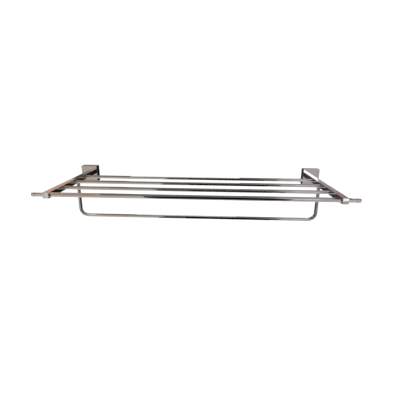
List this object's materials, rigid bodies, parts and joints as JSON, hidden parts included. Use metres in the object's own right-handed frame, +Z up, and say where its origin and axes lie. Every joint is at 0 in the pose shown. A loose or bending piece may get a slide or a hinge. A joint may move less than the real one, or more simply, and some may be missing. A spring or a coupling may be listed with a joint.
{
  "type": "towel rack",
  "caption": "Wall-mounted towel rack: square wall blocks and side arms carry a shelf of parallel rails, with a U-shaped hanging bar below.",
  "frame": {"origin": "on the wall plane, midway between the two wall blocks and at their mid height", "axes": "+X along the rails to the right as seen from the room, +Y into the wall, +Z up"},
  "size_m": [0.608, 0.2932, 0.1012],
  "materials": {
    "polished_chrome": "polished mirror chrome",
    "plated_bracket": "zinc-plated pressed steel, satin",
    "zinc_screw": "bright zinc-plated steel",
    "dark_grub": "stainless steel, dull",
    "grey_nylon": "moulded nylon, matt"
  },
  "bodies": {
    "root": {"wall_screw_upper_left": "zinc_screw", "wall_plug_upper_left": "grey_nylon", "wall_screw_lower_left": "zinc_screw", "wall_plug_lower_left": "grey_nylon", "wall_bracket_left": "plated_bracket", "block_cover_left": "polished_chrome", "cover_grub_screw_left": "dark_grub", "arm_washer_left": "zinc_screw", "arm_screw_left": "zinc_screw", "side_arm_left": "polished_chrome", "rail_locking_pin_left": "dark_grub", "hanger_locking_pin_left": "dark_grub", "wall_screw_upper_right": "zinc_screw", "wall_plug_upper_right": "grey_nylon", "wall_screw_lower_right": "zinc_screw", "wall_plug_lower_right": "grey_nylon", "wall_bracket_right": "plated_bracket", "block_cover_right": "polished_chrome", "cover_grub_screw_right": "dark_grub", "arm_washer_right": "zinc_screw", "arm_screw_right": "zinc_screw", "side_arm_right": "polished_chrome", "rail_locking_pin_right": "dark_grub", "hanger_locking_pin_right": "dark_grub", "shelf_rail_rear": "polished_chrome", "shelf_rail_middle": "polished_chrome", "shelf_rail_fore": "polished_chrome", "front_rail": "polished_chrome", "rail_end_cap_left": "polished_chrome", "rail_end_cap_right": "polished_chrome", "hanging_bar": "polished_chrome"}
  },
  "joints": []
}
